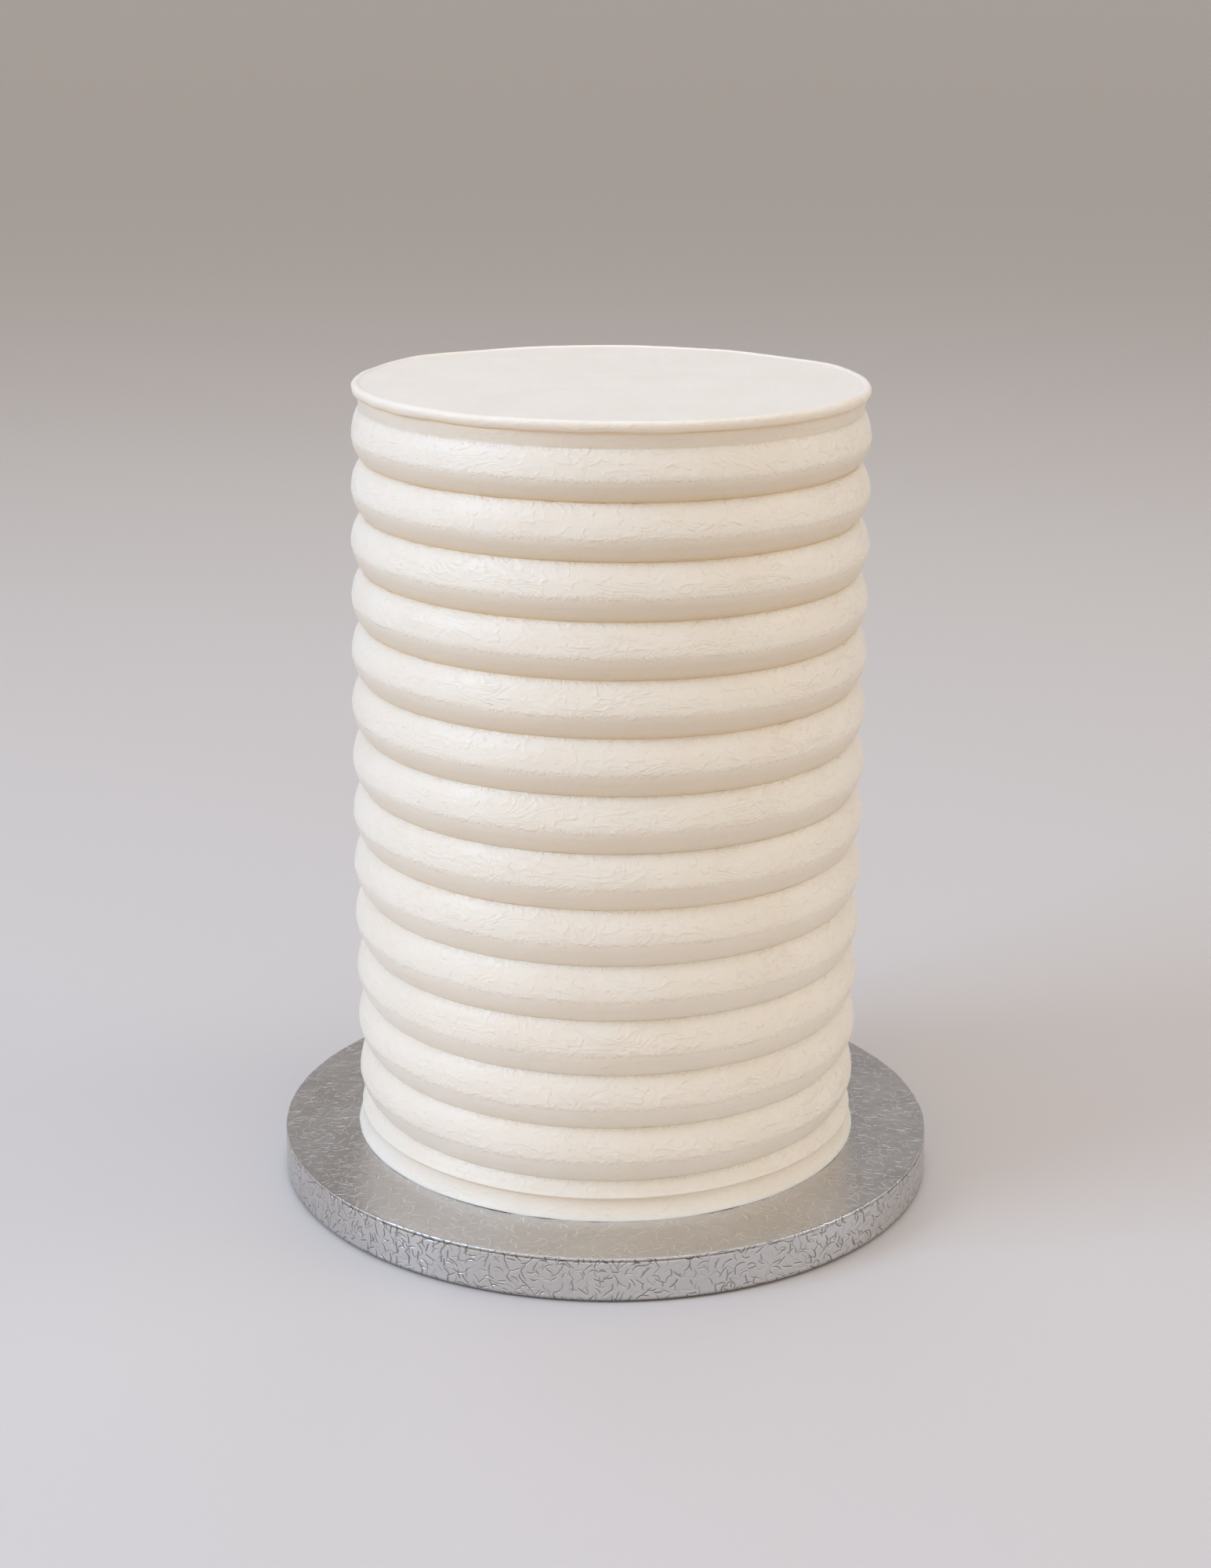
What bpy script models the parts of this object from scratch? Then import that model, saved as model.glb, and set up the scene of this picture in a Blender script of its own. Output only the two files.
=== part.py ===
"""A tall wedding cake, its icing combed into level ribs, fixed on a round foil covered board.

Blender 4.5, metres, +Z up. The origin is the middle of the board's underside.
Heights along the cake are measured up from the board's top face.
"""

import math

import bmesh
import bpy

OBJECT_NAME = "combed_wedding_cake"

# Board: a 200 mm class drum, thick enough to be lifted by its edge
BOARD_RADIUS = 0.1016
BOARD_THICKNESS = 0.0140
BOARD_TOP_ROUNDING = 0.0006
BOARD_UNDER_ROUNDING = 0.0011
BOARD_TURN_STEPS = 96

# Cake body: a faint barrel, widest at its belly
TOUCH_GAP = 0.0003
BELLY_RADIUS = 0.0778
BELLY_HEIGHT = 0.094
BELLY_CURVE = 0.073
CAKE_TURN_STEPS = 56

# Ribs left by the comb, between grooves that are nearly evenly spaced
GROOVE_COUNT = 13
TOP_GROOVE_HEIGHT = 0.2111
BOTTOM_GROOVE_HEIGHT = 0.0110
GROOVE_DRIFT = 0.0006
GROOVE_SKEW = 0.00028
RIB_DEPTH = 0.0035
RIB_FULLNESS = 0.75
RIB_STEPS = 6

# Plain neck above the top rib, where the rib rises less, and the rounded rim that stands out over it
NECK_BOTTOM_HEIGHT = 0.2261
NECK_DEPTH = 0.0019
NECK_TOP_RADIUS = 0.0751
RIM_CENTRE_RADIUS = 0.07525
RIM_CENTRE_HEIGHT = 0.2324
RIM_BEAD_RADIUS = 0.00125
TOP_FACE_HEIGHT = 0.2332
RIM_STEPS = 7

# Ledge that ends the ribs, and the hollow band that flares to the foot
LEDGE_HEIGHT = 0.0070
LEDGE_RADIUS = 0.0771
LEDGE_LIP = 0.0005
BAND_TOP_HEIGHT = 0.0060
BAND_RADIUS = 0.0763
FOOT_RADIUS = 0.0778
FOOT_EDGE = 0.0006
BAND_FLARE = 2.2
BAND_STEPS = 4

# Unevenness of the hand-held comb and of the rim, as (waves round the cake, size, phase)
BODY_WAVES = ((2, 0.00018, 0.6), (3, 0.00012, 2.1), (5, 0.00006, 4.0))
RIM_WAVES = ((6, 0.00016, 1.3), (9, 0.00014, 0.2), (13, 0.00010, 3.4))
WAVE_DRIFT = 4.0  # radians of phase from the board up to the top
RIM_LIFT = 0.5  # share of a lump in the rim that also raises or lowers it

MERGE_DISTANCE = 0.00002
SHARP_ANGLE = math.radians(35)

ICING_COLOUR = (0.86, 0.79, 0.69, 1.0)
ICING_ROUGHNESS = 0.45
FOIL_COLOUR = (0.60, 0.59, 0.57, 1.0)
FOIL_ROUGHNESS = 0.32


def clear_scene():
    for item in list(bpy.data.objects):
        bpy.data.objects.remove(item, do_unlink=True)


def make_collection():
    collection = bpy.data.collections.new(OBJECT_NAME)
    bpy.context.scene.collection.children.link(collection)
    return collection


def make_material(name, colour, roughness, metallic):
    material = bpy.data.materials.new(name)
    material.use_nodes = True
    shader = material.node_tree.nodes["Principled BSDF"]
    shader.inputs["Base Color"].default_value = colour
    shader.inputs["Roughness"].default_value = roughness
    shader.inputs["Metallic"].default_value = metallic
    return material


def crest_radius(height):
    """Radius of the line through the ribs' crests."""
    return BELLY_RADIUS - BELLY_CURVE * (height - BELLY_HEIGHT) ** 2


def groove_height(number):
    """Height of a groove, 0 at the top. The comb drifts a little between the first and the last."""
    share = number / (GROOVE_COUNT - 1)
    level = TOP_GROOVE_HEIGHT + share * (BOTTOM_GROOVE_HEIGHT - TOP_GROOVE_HEIGHT)
    drift = GROOVE_DRIFT * math.sin(math.pi * share)
    skew = GROOVE_SKEW * math.sin(2 * math.pi * share)
    return level + drift + skew


def rib_radius(height, top, bottom, top_depth=RIB_DEPTH):
    """Radius on the rounded rib between two grooves, whose upper one may be shallow."""
    middle = (top + bottom) / 2
    across = (height - middle) / ((top - bottom) / 2)
    bulge = max(0.0, 1 - across * across) ** RIB_FULLNESS
    depth = top_depth if across > 0 else RIB_DEPTH
    return crest_radius(middle) - depth * (1 - bulge)


def rib_points(top, bottom, top_depth=RIB_DEPTH, cut_below=0.0):
    """Profile of one rib, from its top groove down to just above its bottom one."""
    middle = (top + bottom) / 2
    half = (top - bottom) / 2
    points = []
    for step in range(RIB_STEPS):
        height = middle + half * math.cos(math.pi * step / RIB_STEPS)
        if height > cut_below:
            points.append((rib_radius(height, top, bottom, top_depth), height))
    return points


def rim_points():
    """Rounded rim, from the edge of the top face, over its crown and back in under it to the neck."""
    start = math.pi - math.asin((TOP_FACE_HEIGHT - RIM_CENTRE_HEIGHT) / RIM_BEAD_RADIUS)
    end = -math.acos((NECK_TOP_RADIUS - RIM_CENTRE_RADIUS) / RIM_BEAD_RADIUS)
    points = []
    for step in range(RIM_STEPS + 1):
        angle = start + (end - start) * step / RIM_STEPS
        radius = RIM_CENTRE_RADIUS + RIM_BEAD_RADIUS * math.cos(angle)
        height = RIM_CENTRE_HEIGHT + RIM_BEAD_RADIUS * math.sin(angle)
        points.append((radius, height))
    return points


def ribs_points():
    """All the ribs, from the foot of the neck down to the last one, which the ledge cuts."""
    grooves = [groove_height(number) for number in range(GROOVE_COUNT)]
    below = 2 * grooves[-1] - grooves[-2]
    points = rib_points(NECK_BOTTOM_HEIGHT, grooves[0], top_depth=NECK_DEPTH)
    for top, bottom in zip(grooves, grooves[1:]):
        points += rib_points(top, bottom)
    lip_top = LEDGE_HEIGHT + LEDGE_LIP
    points += rib_points(grooves[-1], below, cut_below=lip_top + LEDGE_LIP)
    points.append((rib_radius(lip_top, grooves[-1], below), lip_top))
    return points


def base_points():
    """Proud lip, then the hollow band that flares out to the foot."""
    points = [(LEDGE_RADIUS, LEDGE_HEIGHT), (LEDGE_RADIUS, LEDGE_HEIGHT - LEDGE_LIP)]
    foot_top = TOUCH_GAP + FOOT_EDGE
    for step in range(BAND_STEPS + 1):
        share = step / BAND_STEPS
        height = BAND_TOP_HEIGHT + share * (foot_top - BAND_TOP_HEIGHT)
        radius = BAND_RADIUS + (FOOT_RADIUS - BAND_RADIUS) * share**BAND_FLARE
        points.append((radius, height))
    points.append((FOOT_RADIUS, TOUCH_GAP))
    return points


def cake_profile():
    """Half section of the cake as (radius, height), from the middle of the top to the middle of the base."""
    points = [(0.0, TOP_FACE_HEIGHT)]
    points += rim_points()
    points += ribs_points()
    points += base_points()
    points.append((0.0, TOUCH_GAP))
    return points


def board_profile():
    """Half section of the board, its edges eased where the foil turns over them."""
    return [
        (0.0, BOARD_THICKNESS),
        (BOARD_RADIUS - BOARD_TOP_ROUNDING, BOARD_THICKNESS),
        (BOARD_RADIUS, BOARD_THICKNESS - BOARD_TOP_ROUNDING),
        (BOARD_RADIUS, BOARD_UNDER_ROUNDING),
        (BOARD_RADIUS - BOARD_UNDER_ROUNDING, 0.0),
        (0.0, 0.0),
    ]


def turn(name, profile, steps, collection):
    """A closed turned mesh, from a profile at +X that runs from top to bottom."""
    outline = bpy.data.meshes.new(name + "_outline")
    edges = [(index, index + 1) for index in range(len(profile) - 1)]
    outline.from_pydata([(radius, 0.0, height) for radius, height in profile], edges, [])
    guide = bpy.data.objects.new(name + "_guide", outline)
    collection.objects.link(guide)
    screw = guide.modifiers.new("Turn", "SCREW")
    screw.axis = "Z"
    screw.angle = math.tau
    screw.steps = steps
    screw.render_steps = steps
    screw.use_merge_vertices = True
    screw.merge_threshold = MERGE_DISTANCE
    evaluated = guide.evaluated_get(bpy.context.evaluated_depsgraph_get())
    mesh = bpy.data.meshes.new_from_object(evaluated)
    mesh.name = name
    bpy.data.objects.remove(guide, do_unlink=True)
    bpy.data.meshes.remove(outline)
    solid = bpy.data.objects.new(name, mesh)
    collection.objects.link(solid)
    return solid


def wave_sum(waves, angle, height):
    """Smooth unevenness round the cake. Its phase drifts with height, so no two ribs are quite alike."""
    drift = WAVE_DRIFT * height / TOP_FACE_HEIGHT
    return sum(size * math.sin(count * angle + phase + drift) for count, size, phase in waves)


def make_uneven(mesh):
    """Moves the icing's side and rim as a hand would. The waves fade out down the band to a true foot."""
    for vertex in mesh.vertices:
        x, y, height = vertex.co
        radius = math.hypot(x, y)
        if radius < RIM_CENTRE_RADIUS - 2 * RIM_BEAD_RADIUS:
            continue
        angle = math.atan2(y, x)
        outward = wave_sum(BODY_WAVES, angle, height) * min(1.0, height / LEDGE_HEIGHT)
        if height > RIM_CENTRE_HEIGHT - RIM_BEAD_RADIUS:
            lump = wave_sum(RIM_WAVES, angle, height)
            outward += lump
            vertex.co.z = height + lump * RIM_LIFT
        vertex.co.x = x * (1 + outward / radius)
        vertex.co.y = y * (1 + outward / radius)


def finish_mesh(solid, material):
    """Splits the faces the same way on every run, faces them outward and shades the round parts smooth."""
    shape = bmesh.new()
    shape.from_mesh(solid.data)
    bmesh.ops.triangulate(shape, faces=shape.faces, quad_method="FIXED", ngon_method="BEAUTY")
    bmesh.ops.recalc_face_normals(shape, faces=shape.faces)
    shape.to_mesh(solid.data)
    shape.free()
    solid.data.shade_smooth()
    solid.data.set_sharp_from_angle(angle=SHARP_ANGLE)
    solid.data.materials.append(material)


def make_board(collection):
    board = turn("cake_board", board_profile(), BOARD_TURN_STEPS, collection)
    finish_mesh(board, make_material("silver_foil", FOIL_COLOUR, FOIL_ROUGHNESS, 1.0))
    return board


def make_cake(collection):
    cake = turn("cake", cake_profile(), CAKE_TURN_STEPS, collection)
    make_uneven(cake.data)
    finish_mesh(cake, make_material("ivory_icing", ICING_COLOUR, ICING_ROUGHNESS, 0.0))
    cake.location.z = BOARD_THICKNESS
    return cake


def main():
    clear_scene()
    collection = make_collection()
    make_board(collection)
    make_cake(collection)


main()
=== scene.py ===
"""Looks of the combed wedding cake on its foil board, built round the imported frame.

Blender 4.5, metres, +Z up. Heights on the cake are measured up from the board's top face.
"""

import math

import bpy
import numpy as np
from mathutils import Matrix, Vector


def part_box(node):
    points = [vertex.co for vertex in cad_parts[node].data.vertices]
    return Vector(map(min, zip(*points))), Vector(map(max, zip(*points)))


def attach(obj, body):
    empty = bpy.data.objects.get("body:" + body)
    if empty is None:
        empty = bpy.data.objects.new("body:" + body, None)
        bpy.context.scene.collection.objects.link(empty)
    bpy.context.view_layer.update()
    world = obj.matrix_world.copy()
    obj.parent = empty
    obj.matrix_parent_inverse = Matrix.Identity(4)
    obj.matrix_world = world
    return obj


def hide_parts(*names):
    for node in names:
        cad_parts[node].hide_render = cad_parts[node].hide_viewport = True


SEED = 41
CURVE_POINTS = 60  # of a curve, before its points are spread evenly
SAME_POINT = 1e-5
SHARP_ANGLE = math.radians(70)  # edges that turn more aren't shaded smooth
BAKE_MAP = "OFBake"

# Photograph's camera, found from the cake's outline and the board's edge
PHOTO_LONG_SIDE = 2000
FOCAL_PIXELS = 3319
SENSOR_WIDTH = 36.0
CAMERA_DISTANCE = 0.7653
CAMERA_HEIGHT = 0.3456  # over the board's top face
CAMERA_PITCH = math.radians(17.16)
CAMERA_ROLL = math.radians(0.4435)
CAMERA_YAW = math.radians(0.0635)
CAMERA_CLIP = 0.01

# Cake body, a faint barrel
BELLY_RADIUS = 0.0778
BELLY_HEIGHT = 0.094
BELLY_CURVE = 0.073
CAKE_COLUMNS = 512
PROFILE_STEP = 0.00052
ICING_MAP_SCALE = 2.02

# Ribs left by the comb
GROOVE_COUNT = 13
TOP_GROOVE_HEIGHT = 0.2111
BOTTOM_GROOVE_HEIGHT = 0.0110
GROOVE_DRIFT = 0.0006
GROOVE_SKEW = 0.00028
RIB_DEPTH = 0.0035
RIB_FULLNESS = 0.75
RIB_POINTS = 240

# Neck, rim and top
NECK_BOTTOM_HEIGHT = 0.2261
NECK_DEPTH = 0.0023
NECK_TOP_RADIUS = 0.0751
RIM_CENTRE_RADIUS = 0.07525
RIM_CENTRE_HEIGHT = 0.2324
RIM_BEAD_RADIUS = 0.00125
RIM_DROP = 1.7  # how much lower the bead hangs than a round one
RIM_FOOT_HEIGHT = RIM_CENTRE_HEIGHT - RIM_BEAD_RADIUS * RIM_DROP
RIM_UNDER_HEIGHT = RIM_FOOT_HEIGHT + 0.0004
RIM_STEP = PROFILE_STEP / 2
TOP_FACE_HEIGHT = 0.2332
TOP_FACE_RADIUS = 0.0742
TOP_RING_STEP = 0.0032

# Ledge, band and foot
LEDGE_HEIGHT = 0.0070
LEDGE_RADIUS = 0.0771
LEDGE_LIP = 0.0005
BAND_TOP_HEIGHT = 0.0060
BAND_RADIUS = 0.0763
BAND_FLARE = 2.2
BASE_STEP = PROFILE_STEP * 0.8
FOOT_RADIUS = 0.0778
FOOT_EDGE = 0.0006
FOOT_GAP = 0.00004
SKIRT_SPREAD = 0.0006
SKIRT_FLARE = 1.5

# Unevenness shared with the frame, as (waves round the cake, size, phase)
BODY_WAVES = ((2, 0.00018, 0.6), (3, 0.00012, 2.1), (5, 0.00006, 4.0))
RIM_WAVES = ((6, 0.00016, 1.3), (9, 0.00014, 0.2), (13, 0.00010, 3.4))
WAVE_DRIFT = 4.0  # radians of phase from the board up to the top
RIM_LIFT = 0.5  # share of a lump in the rim that also raises or lowers it

# Finer unevenness of the icing, as (size, cells round the skin, cells along its section)
RIM_LUMPS = ((0.00012, 40, 90), (0.00005, 120, 200))
RIM_FOLDS = (0.00030, 64, 60)
RIM_FOLD_REACH = 0.0008
FOOT_RIPPLES = (0.00016, 70, 4)
FOOT_RIPPLE_REACH = 0.0014
KNIFE_MARKS = (0.00005, 5, 60)
KNIFE_MARKS_FADE = 0.02  # radius inside which they die out
COMB_WANDER = (0.00016, 7, 40)
RIB_WEAR = ((0.00010, 22, 60), (0.00004, 70, 110), (0.00003, 16, 420), (0.00004, 150, 120))

# Keel along each crest, the fine ridge under it, and the beads and the fill in the grooves. A place on a
# rib runs from -1 at the groove below to 1 at the groove above, and bands are (size, place, width)
CREST_PLACE = -0.05
CREST_WANDER = ((0.06, 34, 40), (0.03, 110, 60))
CREST_SPREAD = 0.28
CREST_WEAR = 0.05
CREST_LIFT = 0.00026
CREST_UNEVENNESS = (0.35, 40, 50)
RIDGE_DROP = 0.09
RIDGE_WIDTH = 0.05
RIDGE_LIFT = 0.00009
RIDGE_WHOLE = 0.6
RIDGE_BREAKS = (0.9, 220, 90)
BEAD_BANDS = ((1.0, 0.93, 0.06), (0.6, -0.95, 0.05))
BEADS = (0.00015, 230, 160)
GROOVE_FILL = 0.00022
GROOVE_FILL_WIDTH = 0.05

# Board
BOARD_TOP_ROUNDING = 0.00045
BOARD_UNDER_ROUNDING = 0.0017
BOARD_COLUMNS = 1080
BOARD_STEP = 0.00055
BOARD_EDGE_STEP = 0.0002
BOARD_EDGE_ZONE = 0.0022
ROUNDING_POINTS = 5
COVERED_RADIUS = 0.0745
COVERED_RING_STEP = 0.015
FOIL_MAP_SCALE = 2.38

# Unevenness of the foil, as that of the icing
FOIL_WAVES = ((0.00004, 110, 34), (0.00003, 300, 90))
FOIL_SINK = 0.00005
EDGE_NICKS = (0.00013, 420, 60)
# The fold under the top edge is pressed into the foil and also darkened with painted shade
FOLD_DROP = 0.00105
FOLD_WIDTH = 0.0003
FOLD_DEPTH = 0.0002
FOLD_WHOLE = 0.9
FOLD_BREAKS = ((1.2, 7, 2), (0.7, 360, 20))
WALL_DROP = BOARD_TOP_ROUNDING * 0.4  # from the top face down to where the foil has the wall's look
TUCK_SHADE = 1.2  # painted shade of the foil under the board, before it is cut to 1
TUCK_FALL = 1.4  # how much the shade loses up the lower rounding

# Icing's colours: two that mingle, then painted shade for the ribs' undersides and painted shade for the
# grooves and recesses
IVORY = (0.865, 0.800, 0.705, 1.0)
IVORY_MOTTLED = (0.850, 0.775, 0.670, 1.0)
IVORY_UNDERSIDE_SHADE = (0.750, 0.650, 0.520, 1.0)
IVORY_CREVICE_SHADE = (0.790, 0.580, 0.335, 1.0)
MOTTLE_SCALE = 45
ROUGHNESS_SCALE = 160
ROUGHNESS_RANGE = (0.36, 0.48)

# Where that painted shade shows, with bands as (size, place or height, width). All but the bands below
# the rim and the ledge grow from the foot up to the full height, so the painted shade is fainter near the
# foot
SHADE_FULL_HEIGHT = 0.19
# Painted shade on the ribs' undersides, on the neck under the rim and on the rim's lower half
UNDER_SHADE_START = CREST_PLACE + 0.1
UNDER_SHADE_REACH = 0.6
NECK_SHADE = 0.6
RIM_SHADE = 0.4
RIM_SHADE_REACH = 0.001
# Painted shade along the grooves, below the rim and below the ledge
GROOVE_SHADES = ((1.0, -1.0, 0.16), (0.6, 1.0, 0.05))
GROOVE_SHADE_TOP = NECK_BOTTOM_HEIGHT - 0.003
GROOVE_SHADE_AT_FOOT = 0.15
BELOW_RIM_SHADE = (0.7, RIM_FOOT_HEIGHT, 0.0007)
BELOW_LEDGE_SHADE = (0.25, BAND_TOP_HEIGHT - 0.0006, 0.0008)
CREVICE_SHADE_SHARE = 0.65

# How strongly the icing is stroked: on the top face, on plain sides, and on ribs, whose upper part starts
# at a place. It changes from the cake's left to its right
STROKED_TOP = 0.12
STROKED_PLAIN = 0.5
STROKED_LOWER = 0.3
STROKED_UPPER = 0.8
STROKED_UPPER_START = -0.25
STROKED_UPPER_REACH = 0.3
STROKED_MIDDLE = 0.95
STROKED_TO_RIGHT = 0.3
COMB_LINES = ((0.94, 0.07), (CREST_PLACE - RIDGE_DROP, 0.09))  # as (place, width)

# Icing's fine marks: lines as (scale, width) or for whorls (scale, spacing), patches as (scale, low, high)
# and depths in millimetres
LEVEL_SQUEEZE = (1, 1, 2.4)
WRINKLES = (130, 0.0015)
WRINKLE_PATCHES = (300, 0.45, 0.56)
WRINKLE_DEPTH = 0.15
STROKES = (300, 0.0008)
STROKE_PATCHES = (330, 0.47, 0.57)
STROKE_DEPTH = 0.13
WHORLS = (62, 0.0010)
WHORL_PATCHES = (48, 0.40, 0.58)
WHORL_DEPTH = 0.05
LUMP_SCALE = 300
LUMP_DEPTH = 0.11
TICK_PATCHES = (800, 0.46, 0.60)
TICK_DEPTH = 0.16
STREAK_SQUEEZE = (14, 14, 1)
STREAK_SCALE = 70
STREAK_DEPTH = 0.04
GRAIN_SCALE = 1500
GRAIN_DEPTH = 0.008

# Foil's colours, among them painted light for the wall, a painted glint for the raised dashes and painted
# shade for the creases, and its dashes as (spacing, length): raised ones on top, pressed ones on the wall
FOIL_DARK = (0.590, 0.580, 0.585, 1.0)
FOIL_LIGHT = (0.655, 0.645, 0.645, 1.0)
FOIL_PAINTED_GLINT = (0.95, 0.95, 0.95, 1.0)
# Painted light: the wall's foil gets its own colour, lighter than the top's darker tones
FOIL_WALL_PAINTED_LIGHT = (0.65, 0.64, 0.63, 1.0)
# Painted shade for the pressed dashes, the fold and the foil under the board
FOIL_PAINTED_SHADE = (0.16, 0.15, 0.145, 1.0)
FOIL_TONE_SCALE = 35
FOIL_ROUGHNESS_SCALE = 70
FOIL_ROUGHNESS_RANGE = (0.25, 0.33)
TOP_DASHES = ((0.0023, 0.0040), (0.0027, 0.0048), (0.0031, 0.0056))
TOP_DASH_WIDTH = 0.00055
WALL_DASHES = ((0.0024, 0.0042), (0.0032, 0.0056))
WALL_DASH_WIDTH = 0.0007
DASH_BEND = 3.6
DASH_BODY = 0.2  # share of its length, from its middle each way, before a dash fades
DASH_FAINTEST = 0.1
DASH_STRONG = 0.8  # chance from which a dash has its full strength
DASH_SHIFT = 0.31  # metres between the maps of two sets

# Foil's depths in millimetres, with the scales of the unevenness, and shares of its colours: the painted
# glint, the wall's painted light and the painted shade
RAISED_DEPTH = 0.055
PRESSED_DEPTH = -0.16
BLOTCH_SCALE = 170
BLOTCH_DEPTH = 0.03
ROLLING_SCALE = 900
ROLLING_DEPTH = 0.006
SET_PAINTED_GLINT = 0.65
RAISED_PAINTED_GLINT = 0.15
WALL_SHARE = 0.85
PRESSED_SHADE = 0.72
FOLD_SHADE = 0.9

# Noise textures: where most of their values lie, and how fast they change across their middle, per cell
NOISE_LOW = 0.3
NOISE_HIGH = 0.7
NOISE_SLOPE = 1.3

# Light, with each lamp as (name, azimuth, elevation, size, watts, colour)
LAMP_TARGET = Vector((0, 0, 0.13))
LAMP_DISTANCE = 1.7
LAMPS = (
    ("window", -68, 35, 0.9, 15.2, (0.513, 0.705, 1.0)),
    ("overhead", 0, 88, 1.6, 10.2, (0.814, 0.854, 1.0)),
    ("right_fill", 90, 35, 0.9, 3.8, (1.0, 1.0, 1.0)),
    ("back_fill", 180, 62, 0.9, 2.9, (1.0, 1.0, 1.0)),
)

# Room, with the stretch of a direction's Y or Z over which each light gives way to the next
BACK_LIGHT = (0.45, 0.42, 0.40, 1.0)
HORIZON_LIGHT = (0.95, 0.89, 0.86, 1.0)
ROOM_LIGHT = (1.24, 1.135, 1.01, 1.0)
CEILING_LIGHT = (0.15, 0.14, 0.14, 1.0)
BACK_TO_HORIZON = (0.25, 0.0)
BACK_TO_ROOM = (0.7, -0.3)
ROOM_TO_CEILING = (0.2, 1.0)

# Floor
FLOOR_RADIUS = 90.0
FLOOR_SIDES = 96
FLOOR_COLOUR = (0.69, 0.645, 0.615, 1.0)


class Noise:
    """Smooth repeatable noise over a turned skin, which closes on itself round the axis."""

    def __init__(self, seed):
        self.source = np.random.default_rng(seed)

    def values(self, skin, cells_around, cells_along):
        """Values from -1 to 1 with that many cells round the skin and along its section."""
        grid = self.source.uniform(-1, 1, (cells_around, cells_along + 2))
        u = skin.around * cells_around
        v = skin.along * cells_along
        column = np.floor(u).astype(int)
        row = np.floor(v).astype(int)
        s = ease(u - column)
        t = ease(v - row)
        left = column % cells_around
        right = (column + 1) % cells_around
        near = grid[left, row] * (1 - s) + grid[right, row] * s
        far = grid[left, row + 1] * (1 - s) + grid[right, row + 1] * s
        return near * (1 - t) + far * t

    def layers(self, skin, *sizes):
        """Sum of noises, each as (size, cells round the skin, cells along its section)."""
        return sum(size * self.values(skin, around, along) for size, around, along in sizes)


class Skin:
    """A turned surface as a grid: its rows run along a half section and its columns round the axis."""

    def __init__(self, radius, height, columns):
        run = run_along(radius, height)
        slope_radius = np.gradient(radius)
        slope_height = np.gradient(height)
        length = np.hypot(slope_radius, slope_height)
        self.rows = len(radius)
        self.columns = columns
        self.run = run
        self.angle = (np.arange(columns) * math.tau / columns)[None, :] + np.zeros((self.rows, 1))
        self.around = self.angle / math.tau
        self.along = (run / run[-1])[:, None] + np.zeros((1, columns))
        self.radius = radius[:, None] + np.zeros((1, columns))
        self.height = height[:, None] + np.zeros((1, columns))
        self.out_radius = (-slope_height / length)[:, None]
        self.out_height = (slope_radius / length)[:, None]

    def points(self, outward, rise=0.0):
        """The grid's points, moved outward along the section's normal and up."""
        radius = self.radius + outward * self.out_radius
        height = self.height + outward * self.out_height + rise
        return np.stack([radius * np.cos(self.angle), radius * np.sin(self.angle), height], -1)


class Zones:
    """Which points of the icing's skin are side, rim, flat top or combed, and their places on the ribs."""

    def __init__(self, skin):
        self.side = skin.height < RIM_FOOT_HEIGHT
        self.rim = (skin.radius > TOP_FACE_RADIUS - RIM_BEAD_RADIUS) & ~self.side
        self.top = ~self.side & ~self.rim
        self.combed = (skin.height < NECK_BOTTOM_HEIGHT) & (skin.height > LEDGE_HEIGHT)
        self.place = place_on_rib(skin.height)


def ease(x):
    """A smooth step from 0 to 1 as x goes from 0 to 1."""
    x = np.clip(x, 0, 1)
    return x * x * (3 - 2 * x)


def bump(x, centre, width):
    """A smooth bump of height 1."""
    return np.exp(-(((x - centre) / width) ** 2))


def bands(x, *sizes):
    """Sum of smooth bumps, each as (size, centre, width)."""
    return sum(size * bump(x, centre, width) for size, centre, width in sizes)


def run_along(radius, height):
    """How far along a section each of its points lies."""
    return np.concatenate([[0], np.cumsum(np.hypot(np.diff(radius), np.diff(height)))])


def evenly(radius, height, step):
    """The same line with its points one step apart."""
    run = run_along(radius, height)
    at = np.linspace(0, run[-1], max(2, round(run[-1] / step) + 1))
    return np.interp(at, run, radius), np.interp(at, run, height)


def joined(stretches):
    """Stretches of a half section as one line, without the points that two of them share."""
    radius = np.concatenate([part[0] for part in stretches])
    height = np.concatenate([part[1] for part in stretches])
    apart = np.hypot(np.diff(radius), np.diff(height)) > SAME_POINT
    keep = np.concatenate([[True], apart])
    return radius[keep], height[keep]


def crest_radius(height):
    """Radius of the line through the ribs' crests."""
    return BELLY_RADIUS - BELLY_CURVE * (height - BELLY_HEIGHT) ** 2


def groove_height(number):
    """Height of a groove, 0 at the top. The comb drifts a little between the first and the last."""
    share = number / (GROOVE_COUNT - 1)
    level = TOP_GROOVE_HEIGHT + share * (BOTTOM_GROOVE_HEIGHT - TOP_GROOVE_HEIGHT)
    drift = GROOVE_DRIFT * math.sin(math.pi * share)
    skew = GROOVE_SKEW * math.sin(2 * math.pi * share)
    return level + drift + skew


def rib_lines():
    """Lines between ribs from the top down: the neck's foot, the grooves, and one that the ledge hides."""
    grooves = [groove_height(number) for number in range(GROOVE_COUNT)]
    return [NECK_BOTTOM_HEIGHT, *grooves, 2 * grooves[-1] - grooves[-2]]


def place_on_rib(height):
    """Where each height lies on its rib: 1 at the groove above, 0 at the crest, -1 at the groove below."""
    lines = np.array(rib_lines()[::-1])
    number = np.clip(np.searchsorted(lines, height) - 1, 0, len(lines) - 2)
    middle = (lines[number] + lines[number + 1]) / 2
    half = (lines[number + 1] - lines[number]) / 2
    return np.clip((height - middle) / half, -1, 1)


def rib_section(top, bottom, top_depth):
    """One rib, from its upper groove down to its lower one."""
    across = np.cos(np.linspace(0, math.pi, RIB_POINTS))
    depth = np.where(across > 0, top_depth, RIB_DEPTH)
    bulge = (1 - across * across).clip(0) ** RIB_FULLNESS
    middle = (top + bottom) / 2
    height = middle + (top - bottom) / 2 * across
    return crest_radius(middle) - depth * (1 - bulge), height


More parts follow.
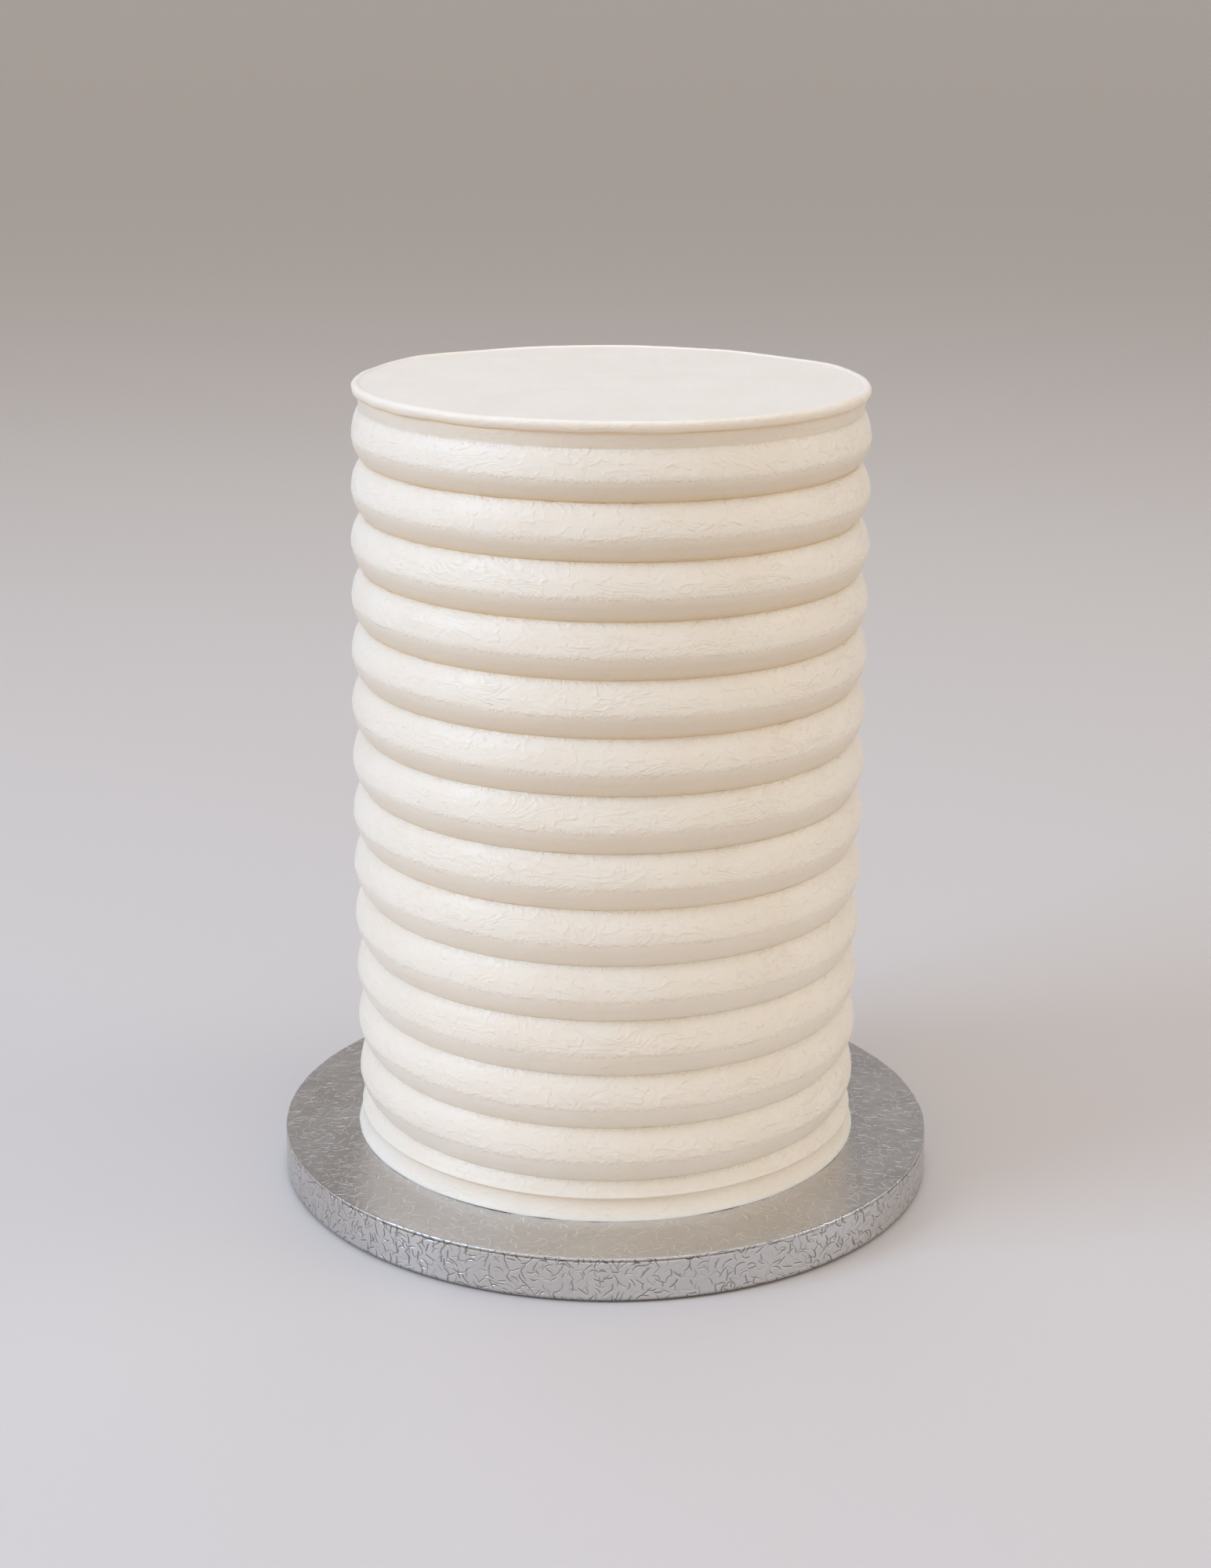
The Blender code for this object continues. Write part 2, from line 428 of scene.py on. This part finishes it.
def rim_section():
    """The rounded rim, from the edge of the top face over and down to the neck."""
    start = math.pi - math.asin((TOP_FACE_HEIGHT - RIM_CENTRE_HEIGHT) / RIM_BEAD_RADIUS)
    end = -math.acos((NECK_TOP_RADIUS - RIM_CENTRE_RADIUS) / RIM_BEAD_RADIUS)
    angle = np.linspace(start, end, CURVE_POINTS)
    radius = RIM_CENTRE_RADIUS + RIM_BEAD_RADIUS * np.cos(angle)
    height = RIM_CENTRE_HEIGHT + RIM_BEAD_RADIUS * np.sin(angle) * np.where(angle < 0, RIM_DROP, 1)
    return radius, height


def neck_section(above, below):
    """The plain neck, straight from the end of one stretch to the start of another."""
    radius = np.array([above[0][-1], below[0][0]])
    height = np.array([above[1][-1], below[1][0]])
    return evenly(radius, height, PROFILE_STEP)


def base_section():
    """The proud lip, the hollow band, the flared foot and the thin skirt where it meets the board."""
    share = np.linspace(0, 1, CURVE_POINTS)
    foot_top = FOOT_GAP + FOOT_EDGE
    band_height = BAND_TOP_HEIGHT + share * (foot_top - BAND_TOP_HEIGHT)
    band_radius = BAND_RADIUS + (FOOT_RADIUS - BAND_RADIUS) * share**BAND_FLARE
    skirt_radius = FOOT_RADIUS + SKIRT_SPREAD * share[1:] ** SKIRT_FLARE
    skirt_height = FOOT_GAP + FOOT_EDGE * (1 - share[1:])
    radius = np.concatenate([[LEDGE_RADIUS, LEDGE_RADIUS], band_radius, skirt_radius])
    height = np.concatenate([[LEDGE_HEIGHT, LEDGE_HEIGHT - LEDGE_LIP], band_height, skirt_height])
    return radius, height


def cake_section():
    """Half section of the cake, from near the middle of the top to the foot."""
    rings = np.arange(TOP_RING_STEP, TOP_FACE_RADIUS, TOP_RING_STEP)
    stretches = [(rings, np.full(len(rings), TOP_FACE_HEIGHT))]
    stretches.append(evenly(*rim_section(), RIM_STEP))
    lines = rib_lines()
    lip_top = LEDGE_HEIGHT + LEDGE_LIP
    for number, (top, bottom) in enumerate(zip(lines, lines[1:])):
        radius, height = rib_section(top, bottom, RIB_DEPTH if number else NECK_DEPTH)
        keep = height > lip_top
        if number == 0:
            stretches.append(neck_section(stretches[-1], (radius, height)))
        stretches.append(evenly(radius[keep], height[keep], PROFILE_STEP))
    stretches.append(evenly(*base_section(), BASE_STEP))
    return joined(stretches)


def rounding(centre_radius, centre_height, size, start, end):
    """A quarter round of the board's edge, between two angles."""
    angle = np.linspace(start, end, ROUNDING_POINTS)
    return centre_radius + size * np.cos(angle), centre_height + size * np.sin(angle)


def board_section(thickness, board_radius):
    """Half section of the board: its top, its eased edges, its wall and its underside."""
    covered = np.arange(COVERED_RING_STEP, COVERED_RADIUS, COVERED_RING_STEP)
    top_edge = board_radius - BOARD_TOP_ROUNDING
    under_edge = board_radius - BOARD_UNDER_ROUNDING
    wall_top = thickness - BOARD_TOP_ROUNDING
    edge_end = wall_top - BOARD_EDGE_ZONE
    straight = np.array([board_radius, board_radius])
    return joined([
        (covered, np.full(len(covered), thickness)),
        evenly(np.array([COVERED_RADIUS, top_edge]), np.array([thickness, thickness]), BOARD_STEP),
        rounding(top_edge, wall_top, BOARD_TOP_ROUNDING, math.pi / 2, 0),
        evenly(straight, np.array([wall_top, edge_end]), BOARD_EDGE_STEP),
        evenly(straight, np.array([edge_end, BOARD_UNDER_ROUNDING]), BOARD_STEP),
        rounding(under_edge, BOARD_UNDER_ROUNDING, BOARD_UNDER_ROUNDING, 0, -math.pi / 2),
        (covered[::-1], np.zeros(len(covered))),
    ])


def turned_faces(rows, columns):
    """Quads of the grid facing out, and the fans that close its two ends on their middle points."""
    row = np.arange(rows - 1)[:, None] * columns
    column = np.arange(columns)[None, :]
    after = (column + 1) % columns
    quads = np.stack([row + column, row + columns + column, row + columns + after, row + after], -1)
    ring = column[0]
    top_middle = np.full(columns, rows * columns)
    end = (rows - 1) * columns
    top_fan = np.stack([top_middle, ring, after[0]], -1)
    under_fan = np.stack([top_middle + 1, end + after[0], end + ring], -1)
    return quads.reshape(-1, 4), np.concatenate([top_fan, under_fan])


def turned_map(skin, points, layout):
    """Places on the texture, corner by corner: the flat ends as discs and the side as level strips."""
    scale = layout["scale"]
    flat = points[..., :2] * scale
    columns = skin.columns
    row, column = np.meshgrid(np.arange(skin.rows - 1), np.arange(columns), indexing="ij")
    rows = np.stack([row, row + 1, row + 1, row], -1)
    across = np.stack([column, column, column + 1, column + 1], -1)
    on_disc = flat[rows, across % columns]
    per_strip = columns // layout["strips"]
    strip = (column // per_strip)[..., None]
    side = skin.radius.max(1) * math.tau * scale
    width = side.max() / layout["strips"]
    u = layout["corner"] + (across - strip * per_strip) / per_strip * width
    v = layout["corner"] + strip * layout["strip_step"] + (skin.run[-1] - skin.run[rows]) * scale
    v = v - (skin.run[-1] - skin.run[layout["under_row"]]) * scale
    places = np.stack([u, v], -1)
    top = (row < layout["top_row"])[..., None, None]
    under = (row >= layout["under_row"])[..., None, None]
    top_disc, under_disc = layout["discs"]
    places = np.where(top, on_disc + top_disc, places)
    places = np.where(under, on_disc * (-1, 1) + under_disc, places)
    after = (np.arange(columns) + 1) % columns
    middle = np.zeros((columns, 2))
    top_fan = np.stack([middle, flat[0], flat[0, after]], 1) + top_disc
    under_fan = np.stack([middle, flat[-1, after], flat[-1]], 1) * (-1, 1) + under_disc
    return np.concatenate([places.reshape(-1, 2), top_fan.reshape(-1, 2), under_fan.reshape(-1, 2)])


def turned_mesh(name, skin, points, layout, lift=0.0):
    """A closed smooth mesh object from a skin's points, with the map that its textures are baked on."""
    middles = [[0, 0, points[0, :, 2].mean()], [0, 0, points[-1, :, 2].mean()]]
    vertices = np.concatenate([points.reshape(-1, 3), middles]) + (0, 0, lift)
    quads, fans = turned_faces(skin.rows, skin.columns)
    corners = np.concatenate([quads.ravel(), fans.ravel()])
    sizes = np.concatenate([np.full(len(quads), 4), np.full(len(fans), 3)])
    mesh = bpy.data.meshes.new(name)
    mesh.vertices.add(len(vertices))
    mesh.vertices.foreach_set("co", vertices.astype(np.float32).ravel())
    mesh.loops.add(len(corners))
    mesh.loops.foreach_set("vertex_index", corners.astype(np.int32))
    mesh.polygons.add(len(sizes))
    mesh.polygons.foreach_set("loop_start", (np.cumsum(sizes) - sizes).astype(np.int32))
    mesh.update(calc_edges=True)
    mesh.shade_smooth()
    mesh.set_sharp_from_angle(angle=SHARP_ANGLE)
    bake_map = mesh.uv_layers.new(name=BAKE_MAP)
    bake_map.uv.foreach_set("vector", turned_map(skin, points, layout).astype(np.float32).ravel())
    piece = bpy.data.objects.new(name, mesh)
    bpy.context.scene.collection.objects.link(piece)
    return piece


def add_attributes(piece, grids):
    """Numbers for each point of the skin, by name, for the material to read. The two middles get 0."""
    for name, grid in grids.items():
        values = np.concatenate([grid.ravel(), [0, 0]])
        attribute = piece.data.attributes.new(name, "FLOAT", "POINT")
        attribute.data.foreach_set("value", values.astype(np.float32))


def wave_sum(waves, skin):
    """Smooth unevenness round the cake. Its phase drifts with height, so no two ribs are quite alike."""
    drift = WAVE_DRIFT * skin.height / TOP_FACE_HEIGHT
    return sum(size * np.sin(count * skin.angle + phase + drift) for count, size, phase in waves)


def combed_relief(skin, noise, place):
    """What the comb and the hand leave on the ribs, in metres along the normal."""
    crest = CREST_PLACE + noise.layers(skin, *CREST_WANDER)
    keel = np.exp(-np.sqrt((place - crest) ** 2 + CREST_WEAR**2) / CREST_SPREAD) - CREST_SPREAD
    relief = CREST_LIFT * keel * (1 + noise.layers(skin, CREST_UNEVENNESS))
    relief += noise.layers(skin, *RIB_WEAR)
    ridge = (RIDGE_WHOLE + noise.layers(skin, RIDGE_BREAKS)).clip(0)
    relief += RIDGE_LIFT * bump(place, crest - RIDGE_DROP, RIDGE_WIDTH) * ridge
    relief += bands(place, *BEAD_BANDS) * noise.layers(skin, BEADS).clip(0)
    relief += GROOVE_FILL * bump(np.abs(place), 1.0, GROOVE_FILL_WIDTH)
    return relief


def icing_points(skin, zones):
    """The icing's skin, made as uneven as the comb, the knife and the hand leave it."""
    noise = Noise(SEED)
    body = wave_sum(BODY_WAVES, skin) * np.clip(skin.height / LEDGE_HEIGHT, 0, 1)
    lump = wave_sum(RIM_WAVES, skin) + noise.layers(skin, *RIM_LUMPS)
    relief = zones.combed * combed_relief(skin, noise, zones.place)
    relief += bump(skin.height, 0, FOOT_RIPPLE_REACH) * noise.layers(skin, FOOT_RIPPLES)
    rim_under = bump(skin.height, RIM_UNDER_HEIGHT, RIM_FOLD_REACH) * zones.rim
    relief += rim_under * noise.layers(skin, RIM_FOLDS)
    knife = noise.layers(skin, KNIFE_MARKS) * np.clip(skin.radius / KNIFE_MARKS_FADE, 0, 1)
    wander = zones.combed * noise.layers(skin, COMB_WANDER)
    points = skin.points(relief, knife * zones.top + wander + lump * RIM_LIFT * zones.rim)
    outward = (body * (zones.side | zones.rim) + lump * zones.rim) / skin.radius
    points[..., :2] *= (1 + outward)[..., None]
    return points


def icing_painted_shade(skin, zones):
    """How strongly each point takes painted shade: that of the ribs' undersides, the neck and the rim's
    lower half, and that of the grooves and recesses.
    """
    height = skin.height
    rise = ease(height / SHADE_FULL_HEIGHT)
    under = zones.combed * ease((UNDER_SHADE_START - zones.place) / UNDER_SHADE_REACH)
    under = under + NECK_SHADE * ((height > NECK_BOTTOM_HEIGHT) & (height < RIM_UNDER_HEIGHT))
    rim_under = (height >= RIM_UNDER_HEIGHT) * ease((RIM_CENTRE_HEIGHT - height) / RIM_SHADE_REACH)
    under = under + RIM_SHADE * rim_under
    grooves = zones.combed * bands(zones.place, *GROOVE_SHADES) * (height < GROOVE_SHADE_TOP)
    grooves = grooves * (GROOVE_SHADE_AT_FOOT + (1 - GROOVE_SHADE_AT_FOOT) * rise**3)
    below_rim = bands(height, BELOW_RIM_SHADE) * (skin.radius > TOP_FACE_RADIUS)
    below_ledge = bands(height, BELOW_LEDGE_SHADE)
    return under * rise, np.maximum(grooves, np.maximum(below_rim, below_ledge))


def icing_attributes(skin, zones):
    """What the icing's material reads at each point."""
    under, crevice_shade = icing_painted_shade(skin, zones)
    upper = ease((zones.place - STROKED_UPPER_START) / STROKED_UPPER_REACH)
    on_rib = STROKED_LOWER + (STROKED_UPPER - STROKED_LOWER) * upper
    stroked = np.where(zones.top, STROKED_TOP, STROKED_PLAIN)
    stroked = np.where(zones.combed, on_rib, stroked)
    stroked = stroked * (STROKED_MIDDLE + STROKED_TO_RIGHT * np.cos(skin.angle))
    comb_line = np.maximum(*(bump(zones.place, *line) for line in COMB_LINES))
    return {
        "combed": zones.combed,
        "stroked": stroked,
        "comb_line": comb_line * zones.combed,
        # The last two keys carry painted shade: on the ribs' undersides, neck and rim, and in the grooves
        # and recesses
        "under": under,
        "crevice_shade": crevice_shade,
    }


def make_icing(lift):
    """The icing as one closed skin: combed ribs, neck, uneven rim, flat top, ledge and foot."""
    skin = Skin(*cake_section(), CAKE_COLUMNS)
    zones = Zones(skin)
    layout = {
        "scale": ICING_MAP_SCALE,
        "strips": 1,
        "strip_step": 0.0,
        "corner": 0.004,
        "discs": ((0.17, 0.79), (0.51, 0.79)),
        "top_row": int(np.argmax(skin.radius[:, 0] > TOP_FACE_RADIUS)),
        "under_row": skin.rows - 1,
    }
    icing = turned_mesh("icing", skin, icing_points(skin, zones), layout, lift)
    add_attributes(icing, icing_attributes(skin, zones))
    return icing


def make_board(thickness, radius):
    """The board's foil skin, a little wavy over the board inside it."""
    noise = Noise(SEED + 1)
    skin = Skin(*board_section(thickness, radius), BOARD_COLUMNS)
    height = skin.height
    shown = (height > BOARD_UNDER_ROUNDING) & (skin.radius > COVERED_RADIUS)
    outer = skin.radius > radius - BOARD_TOP_ROUNDING
    edge = outer * bump(height, thickness - BOARD_TOP_ROUNDING / 2, BOARD_TOP_ROUNDING)
    relief = shown * (noise.layers(skin, *FOIL_WAVES) - FOIL_SINK)
    relief -= edge * noise.layers(skin, EDGE_NICKS).clip(0)
    whole = (FOLD_WHOLE + noise.layers(skin, *FOLD_BREAKS)).clip(0, 1)
    fold = outer * bump(height, thickness - FOLD_DROP, FOLD_WIDTH) * whole
    relief -= FOLD_DEPTH * fold
    # Painted shade on the lower rounding, where the board meets the floor
    tucked_shade = ease(TUCK_SHADE - TUCK_FALL * height / BOARD_UNDER_ROUNDING)
    layout = {
        "scale": FOIL_MAP_SCALE,
        "strips": 2,
        "strip_step": 0.06,
        "corner": 0.01,
        "discs": ((0.25, 0.72), (0.75, 0.72)),
        "top_row": int(np.argmax(outer[:, 0])),
        "under_row": int(np.argmax((height[:, 0] < SAME_POINT) & (skin.radius[:, 0] < radius))),
    }
    board = turned_mesh("foil_board", skin, skin.points(relief), layout)
    wall = outer & (height < thickness - WALL_DROP)
    # The shade attribute is painted shade: the fold's dark line and the lower rounding
    add_attributes(board, {"wall": wall, "shade": np.maximum(fold, tucked_shade)})
    return board


class Tree:
    """A node tree, built a node at a time. Inputs are sockets to link or values to set."""

    def __init__(self, tree):
        self.tree = tree

    def add(self, kind, inputs=None, **settings):
        node = self.tree.nodes.new("ShaderNode" + kind)
        for key, value in settings.items():
            setattr(node, key, value)
        for key, value in (inputs or {}).items():
            self.put(node.inputs[key], value)
        return node

    def put(self, socket, value):
        if isinstance(value, bpy.types.NodeSocket):
            self.tree.links.new(value, socket)
        else:
            socket.default_value = value

    def mix(self, share, first, second):
        """From the first colour at 0 to the second at 1."""
        node = self.add("Mix", data_type="RGBA")
        colours = [socket for socket in node.inputs if socket.type == "RGBA"]
        self.put(node.inputs["Factor"], share)
        self.put(colours[0], first)
        self.put(colours[1], second)
        return next(socket for socket in node.outputs if socket.type == "RGBA")

    def math(self, operation, first, second=0.0):
        return self.add("Math", {0: first, 1: second}, operation=operation).outputs[0]

    def times(self, first, second):
        return self.math("MULTIPLY", first, second)

    def total(self, *terms):
        """Sum of (value, weight) pairs."""
        result = None
        for value, weight in terms:
            part = self.times(value, weight)
            result = part if result is None else self.math("ADD", result, part)
        return result

    def highest(self, values):
        result = values[0]
        for value in values[1:]:
            result = self.math("MAXIMUM", result, value)
        return result

    def spread(self, value, low, high, to_low=0.0, to_high=1.0):
        """The value's stretch from low to high as a smooth step."""
        inputs = {"Value": value, "From Min": low, "From Max": high, "To Min": to_low, "To Max": to_high}
        return self.add("MapRange", inputs, interpolation_type="SMOOTHSTEP").outputs[0]

    def attribute(self, name):
        return self.add("Attribute", attribute_name=name).outputs["Fac"]

    def coordinates(self, squeeze=(1, 1, 1)):
        """The piece's own coordinates in metres, in which patterns come out that many times narrower."""
        place = self.add("TexCoord").outputs["Object"]
        return self.add("Mapping", {"Vector": place, "Scale": squeeze}).outputs[0]

    def flat(self, scale, shift):
        """Places in metres on the flattened surface, from the map of that scale, with a shift."""
        place = self.add("UVMap", uv_map=BAKE_MAP).outputs[0]
        inputs = {"Vector": place, "Scale": (1 / scale,) * 3, "Location": (shift, shift, 0)}
        return self.add("Mapping", inputs).outputs[0]

    def noise(self, vector, scale, detail=2.0, roughness=0.5, distortion=0.0):
        inputs = {"Vector": vector, "Scale": scale, "Detail": detail}
        inputs |= {"Roughness": roughness, "Distortion": distortion}
        return self.add("TexNoise", inputs).outputs["Fac"]

    def patches(self, vector, scale, low, high):
        """1 where a noise is above high and 0 where it is below low."""
        return self.spread(self.noise(vector, scale, detail=1.0), low, high)

    def wandering(self, vector, scale, low=0.0, high=1.0):
        """A value that wanders between low and high."""
        return self.spread(self.noise(vector, scale, detail=3.0), NOISE_LOW, NOISE_HIGH, low, high)

    def creases(self, vector, scale, width):
        """Thin curved lines of a width in metres, 1 on a line and 0 away from it."""
        field = self.noise(vector, scale, detail=0.0, distortion=0.3)
        away = self.math("ABSOLUTE", self.math("SUBTRACT", field, 0.5))
        return self.spread(away, 0.0, width / 2 * scale * NOISE_SLOPE, 1.0, 0.0)

    def whorls(self, vector, scale, spacing):
        """Close curved lines side by side, as in a fingerprint, from -1 to 1, a spacing in metres apart."""
        field = self.noise(vector, scale, detail=1.0, roughness=0.4, distortion=0.6)
        turns = math.tau / (spacing * scale * NOISE_SLOPE)
        return self.math("SINE", self.times(field, turns))

    def dashes(self, vector, spacing, length, width):
        """Short bent dashes at all angles, one in each irregular cell. Sizes are in metres."""
        inputs = {"Vector": vector, "Scale": 1 / spacing}
        cells = self.add("TexVoronoi", inputs, voronoi_dimensions="2D")
        from_middle = {0: vector, 1: cells.outputs["Position"]}
        local = self.add("VectorMath", from_middle, operation="SUBTRACT").outputs[0]
        chance = self.add("SeparateColor", {0: cells.outputs["Color"]}).outputs
        turn = {"Vector": local, "Angle": self.times(chance[0], math.tau)}
        turned = self.add("VectorRotate", turn, rotation_type="Z_AXIS").outputs[0]
        along, across, _ = self.add("SeparateXYZ", {0: turned}).outputs
        bend = self.times(self.math("SUBTRACT", chance[1], 0.5), DASH_BEND / length)
        across = self.math("ADD", across, self.times(bend, self.times(along, along)))
        line = self.spread(self.math("ABSOLUTE", across), 0.0, width / 2, 1.0, 0.0)
        ends = self.spread(self.math("ABSOLUTE", along), length * DASH_BODY, length / 2, 1.0, 0.0)
        strength = self.spread(chance[2], 0.0, DASH_STRONG, DASH_FAINTEST, 1.0)
        return self.times(self.times(line, ends), strength)


class Material(Tree):
    """A material with a Principled shader."""

    def __init__(self, name):
        self.material = bpy.data.materials.new(name)
        self.material.use_nodes = True
        super().__init__(self.material.node_tree)
        self.shader = self.tree.nodes["Principled BSDF"]

    def set_look(self, colour, roughness, millimetres):
        """Links the shader's colour, its roughness and the height of its bump."""
        node = self.add("Bump", {"Height": millimetres, "Distance": 0.001, "Strength": 1.0})
        self.put(self.shader.inputs["Normal"], node.outputs[0])
        self.put(self.shader.inputs["Base Color"], colour)
        self.put(self.shader.inputs["Roughness"], roughness)

    def set_constants(self, **values):
        for name, value in values.items():
            self.shader.inputs[name.replace("_", " ")].default_value = value


def icing_bump(nodes, plain):
    """Wrinkles, strokes and whorls of the drying icing, the comb's ticks and streaks, and a fine grain."""
    level = nodes.coordinates(LEVEL_SQUEEZE)
    wrinkles = nodes.times(nodes.creases(level, *WRINKLES), nodes.patches(plain, *WRINKLE_PATCHES))
    strokes = nodes.times(nodes.creases(plain, *STROKES), nodes.patches(plain, *STROKE_PATCHES))
    whorls = nodes.times(nodes.whorls(level, *WHORLS), nodes.patches(plain, *WHORL_PATCHES))
    stroked = nodes.total(
        (wrinkles, WRINKLE_DEPTH),
        (strokes, STROKE_DEPTH),
        (whorls, WHORL_DEPTH),
        (nodes.noise(level, LUMP_SCALE, detail=1.0), LUMP_DEPTH),
    )
    ticks = nodes.times(nodes.patches(plain, *TICK_PATCHES), nodes.attribute("comb_line"))
    streaks = nodes.noise(nodes.coordinates(STREAK_SQUEEZE), STREAK_SCALE)
    return nodes.total(
        (nodes.times(stroked, nodes.attribute("stroked")), 1.0),
        (ticks, TICK_DEPTH),
        (nodes.times(streaks, nodes.attribute("combed")), STREAK_DEPTH),
        (nodes.noise(plain, GRAIN_SCALE), GRAIN_DEPTH),
    )


def icing_material():
    nodes = Material("ivory_icing")
    plain = nodes.coordinates()
    colour = nodes.mix(nodes.wandering(plain, MOTTLE_SCALE), IVORY, IVORY_MOTTLED)
    # Painted shade on the ribs' undersides, the neck and the rim's lower half
    colour = nodes.mix(nodes.attribute("under"), colour, IVORY_UNDERSIDE_SHADE)
    # Painted shade in the grooves, below the rim and below the ledge
    colour = nodes.mix(nodes.times(nodes.attribute("crevice_shade"), CREVICE_SHADE_SHARE), colour, IVORY_CREVICE_SHADE)
    roughness = nodes.wandering(plain, ROUGHNESS_SCALE, *ROUGHNESS_RANGE)
    nodes.set_look(colour, roughness, icing_bump(nodes, plain))
    nodes.set_constants(Subsurface_Weight=0.35, Subsurface_Radius=(1.0, 0.62, 0.38))
    nodes.set_constants(Subsurface_Scale=0.0022, Specular_IOR_Level=0.42)
    return nodes.material


def dash_sets(nodes, sizes, width):
    """The foil's dashes, one set for each spacing and length."""
    sets = []
    for number, (spacing, length) in enumerate(sizes):
        place = nodes.flat(FOIL_MAP_SCALE, DASH_SHIFT * number)
        sets.append(nodes.dashes(place, spacing, length, width))
    return sets


def foil_material():
    nodes = Material("silver_foil")
    plain = nodes.coordinates()
    wall = nodes.attribute("wall")
    on_top = nodes.math("SUBTRACT", 1.0, wall)
    top_sets = dash_sets(nodes, TOP_DASHES, TOP_DASH_WIDTH)
    raised = nodes.times(nodes.highest(top_sets), on_top)
    pressed = nodes.times(nodes.highest(dash_sets(nodes, WALL_DASHES, WALL_DASH_WIDTH)), wall)
    height = nodes.total(
        (raised, RAISED_DEPTH),
        (pressed, PRESSED_DEPTH),
        (nodes.noise(plain, BLOTCH_SCALE, detail=1.0), BLOTCH_DEPTH),
        (nodes.noise(plain, ROLLING_SCALE), ROLLING_DEPTH),
    )
    colour = nodes.mix(nodes.wandering(plain, FOIL_TONE_SCALE), FOIL_DARK, FOIL_LIGHT)
    # Painted glint: the raised dashes on top are lightened towards white
    painted_glint = nodes.total((nodes.times(top_sets[-1], on_top), SET_PAINTED_GLINT), (raised, RAISED_PAINTED_GLINT))
    colour = nodes.mix(painted_glint, colour, FOIL_PAINTED_GLINT)
    # Painted light: the wall takes its own lighter colour
    colour = nodes.mix(nodes.times(wall, WALL_SHARE), colour, FOIL_WALL_PAINTED_LIGHT)
    # Painted shade in the pressed dashes, along the fold and under the board
    shade = nodes.total((pressed, PRESSED_SHADE), (nodes.attribute("shade"), FOLD_SHADE))
    colour = nodes.mix(shade, colour, FOIL_PAINTED_SHADE)
    roughness = nodes.wandering(plain, FOIL_ROUGHNESS_SCALE, *FOIL_ROUGHNESS_RANGE)
    nodes.set_look(colour, roughness, height)
    nodes.set_constants(Metallic=1.0)
    return nodes.material


def make_camera(board_top):
    camera = bpy.data.objects.new("camera", bpy.data.cameras.new("camera"))
    bpy.context.scene.collection.objects.link(camera)
    camera.data.sensor_width = SENSOR_WIDTH
    camera.data.lens = FOCAL_PIXELS * SENSOR_WIDTH / PHOTO_LONG_SIDE
    turn = Matrix.Rotation(CAMERA_YAW, 4, "Z")
    turn = turn @ Matrix.Rotation(math.pi / 2 - CAMERA_PITCH, 4, "X")
    turn = turn @ Matrix.Rotation(CAMERA_ROLL, 4, "Z")
    place = Vector((0, -CAMERA_DISTANCE, board_top + CAMERA_HEIGHT))
    camera.matrix_world = Matrix.Translation(place) @ turn
    camera.data.clip_start = CAMERA_CLIP
    bpy.context.scene.camera = camera


def make_floor():
    bpy.ops.mesh.primitive_circle_add(vertices=FLOOR_SIDES, radius=FLOOR_RADIUS, fill_type="NGON")
    floor = bpy.context.object
    floor.name = "floor"
    nodes = Material("floor")
    nodes.set_constants(Base_Color=FLOOR_COLOUR, Roughness=0.38, Specular_IOR_Level=0.4)
    floor.data.materials.append(nodes.material)


def make_lamp(name, azimuth, elevation, size, power, colour):
    """A round soft lamp that faces the cake from a direction in degrees, azimuth 0 being the camera's."""
    azimuth = math.radians(azimuth)
    level = math.cos(math.radians(elevation))
    rise = math.sin(math.radians(elevation))
    direction = Vector((math.sin(azimuth) * level, -math.cos(azimuth) * level, rise))
    lamp = bpy.data.lights.new(name, "AREA")
    lamp.shape = "DISK"
    lamp.size = size
    lamp.energy = power
    lamp.color = colour
    holder = bpy.data.objects.new(name, lamp)
    holder.location = LAMP_TARGET + direction * LAMP_DISTANCE
    holder.rotation_euler = (-direction).to_track_quat("-Z", "Y").to_euler()
    bpy.context.scene.collection.objects.link(holder)


def make_world():
    """A soft warm room: light on the camera's side, dim behind the cake but at the horizon, dark above."""
    world = bpy.data.worlds.new("soft_room")
    world.use_nodes = True
    nodes = Tree(world.node_tree)
    direction = nodes.add("SeparateXYZ", {0: nodes.add("TexCoord").outputs["Generated"]}).outputs
    back = nodes.mix(nodes.spread(direction["Z"], *BACK_TO_HORIZON), BACK_LIGHT, HORIZON_LIGHT)
    sides = nodes.mix(nodes.spread(direction["Y"], *BACK_TO_ROOM), back, ROOM_LIGHT)
    whole = nodes.mix(nodes.spread(direction["Z"], *ROOM_TO_CEILING), sides, CEILING_LIGHT)
    nodes.put(world.node_tree.nodes["Background"].inputs["Color"], whole)
    bpy.context.scene.world = world


def make_light():
    for lamp in LAMPS:
        make_lamp(*lamp)
    make_world()
    bpy.context.scene.view_settings.view_transform = "Standard"


def dress(piece, material, node):
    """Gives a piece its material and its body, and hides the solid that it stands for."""
    piece.data.materials.append(material)
    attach(piece, "root")
    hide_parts(node)


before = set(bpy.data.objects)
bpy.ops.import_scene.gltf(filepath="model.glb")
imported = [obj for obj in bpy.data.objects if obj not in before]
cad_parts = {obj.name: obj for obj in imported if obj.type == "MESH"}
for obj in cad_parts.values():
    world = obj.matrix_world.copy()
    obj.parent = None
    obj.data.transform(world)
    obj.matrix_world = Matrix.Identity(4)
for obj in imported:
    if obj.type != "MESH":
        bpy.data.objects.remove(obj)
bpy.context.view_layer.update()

_, board_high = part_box("cake_board")
board_top = board_high.z
make_camera(board_top)
make_floor()
make_light()
dress(make_board(board_top, board_high.x), foil_material(), "cake_board")
dress(make_icing(board_top), icing_material(), "cake")
